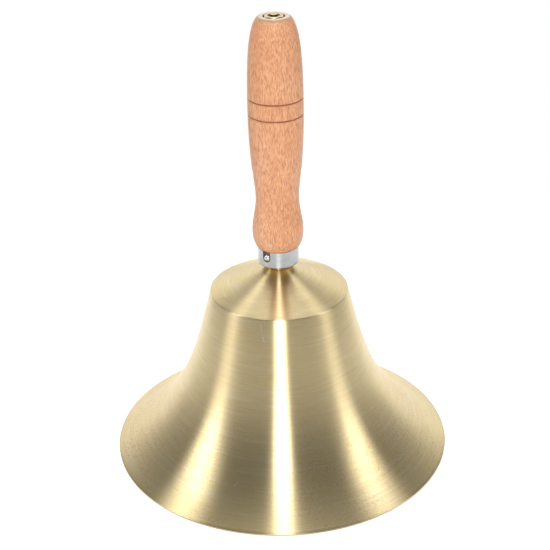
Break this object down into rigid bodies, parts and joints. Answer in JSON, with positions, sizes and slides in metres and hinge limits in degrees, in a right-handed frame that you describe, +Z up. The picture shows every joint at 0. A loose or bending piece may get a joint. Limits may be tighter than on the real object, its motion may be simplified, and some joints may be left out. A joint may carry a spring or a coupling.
{
  "type": "hand bell",
  "caption": "Hand bell: a spun brass cup with a conical shoulder and a wide flared mouth, on a turned wooden handle, held by one long tie rod, with a swivelling ball clapper inside.",
  "frame": {"origin": "centre of the mouth, on the plane the bell stands on", "axes": "+Z up the bell's axis through the handle; the ferrule screw is on the -X -Y side"},
  "size_m": [0.2, 0.2, 0.263],
  "materials": {
    "bell_brass": "satin, fine circumferential brushing",
    "turned_brass": "turned, lightly polished",
    "rod_brass": "drawn",
    "clapper_brass": "turned, polished",
    "ferrule_metal": "satin turned",
    "screw_steel": "bright plated",
    "zinc_steel": "zinc plated",
    "spring_steel": "dark spring steel",
    "beech": "satin lacquered beech, lengthwise grain"
  },
  "bodies": {
    "root": {"bell_shell": "bell_brass", "crown_collar": "turned_brass", "ferrule": "ferrule_metal", "ferrule_screw": "screw_steel", "handle_grip": "beech", "handle_washer": "turned_brass", "handle_nut": "turned_brass", "tie_rod": "rod_brass", "crown_washer": "turned_brass", "crown_spring_washer": "zinc_steel", "crown_nut": "zinc_steel", "swivel_washers": "turned_brass", "swivel_lock_nut": "zinc_steel"},
    "stirrup": {"clapper_stirrup": "zinc_steel", "clapper_pin": "zinc_steel", "clapper_pin_clip": "spring_steel", "clapper_pin_spacers": "turned_brass"},
    "clapper": {"clapper_rod": "zinc_steel", "clapper_ball": "clapper_brass", "clapper_upper_nut": "zinc_steel", "clapper_lower_nut": "zinc_steel"}
  },
  "joints": [
    {"name": "stirrup_swivel", "type": "hinge", "parent": "root", "child": "stirrup", "pos_m": [0, 0, 0.10488], "axis": [0, 0, 1], "continuous": true},
    {"name": "clapper_swing", "type": "hinge", "parent": "stirrup", "child": "clapper", "pos_m": [0, 0, 0.08966], "axis": [1, 0, 0], "range_deg": [-42, 42]}
  ]
}
